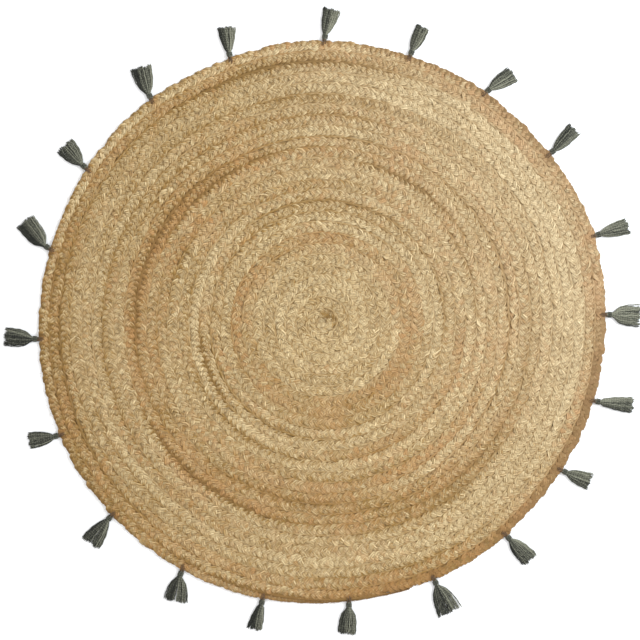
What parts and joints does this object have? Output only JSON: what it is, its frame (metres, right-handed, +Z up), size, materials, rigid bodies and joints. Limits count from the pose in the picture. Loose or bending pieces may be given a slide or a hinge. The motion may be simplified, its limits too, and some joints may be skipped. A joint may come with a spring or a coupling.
{
  "type": "round plaited jute rug",
  "caption": "Round flat floor rug: one long jute plait coiled from the middle out and sewn edge to edge, with short cotton tassels bound to its rim.",
  "frame": {"origin": "on the floor, under the middle of the coil, on the flat underside", "axes": "+Z up from the floor; +X to the right and +Y away, as the rug is seen in the picture from straight above"},
  "size_m": [1.3577, 1.3379, 0.0097],
  "materials": {
    "jute": "dry natural jute fibre, matt, uneven straw to red-brown",
    "cotton": "matt grey-green cotton yarn"
  },
  "bodies": {
    "root": {"plait_coil": "jute", "tassel_01": "cotton", "tassel_02": "cotton", "tassel_03": "cotton", "tassel_04": "cotton", "tassel_05": "cotton", "tassel_06": "cotton", "tassel_07": "cotton", "tassel_08": "cotton", "tassel_09": "cotton", "tassel_10": "cotton", "tassel_11": "cotton", "tassel_12": "cotton", "tassel_13": "cotton", "tassel_14": "cotton", "tassel_15": "cotton", "tassel_16": "cotton", "tassel_17": "cotton", "tassel_18": "cotton", "tassel_19": "cotton", "tassel_20": "cotton", "tassel_wrap_01": "cotton", "tassel_wrap_02": "cotton", "tassel_wrap_03": "cotton", "tassel_wrap_04": "cotton", "tassel_wrap_05": "cotton", "tassel_wrap_06": "cotton", "tassel_wrap_07": "cotton", "tassel_wrap_08": "cotton", "tassel_wrap_09": "cotton", "tassel_wrap_10": "cotton", "tassel_wrap_11": "cotton", "tassel_wrap_12": "cotton", "tassel_wrap_13": "cotton", "tassel_wrap_14": "cotton", "tassel_wrap_15": "cotton", "tassel_wrap_16": "cotton", "tassel_wrap_17": "cotton", "tassel_wrap_18": "cotton", "tassel_wrap_19": "cotton", "tassel_wrap_20": "cotton"}
  },
  "joints": []
}
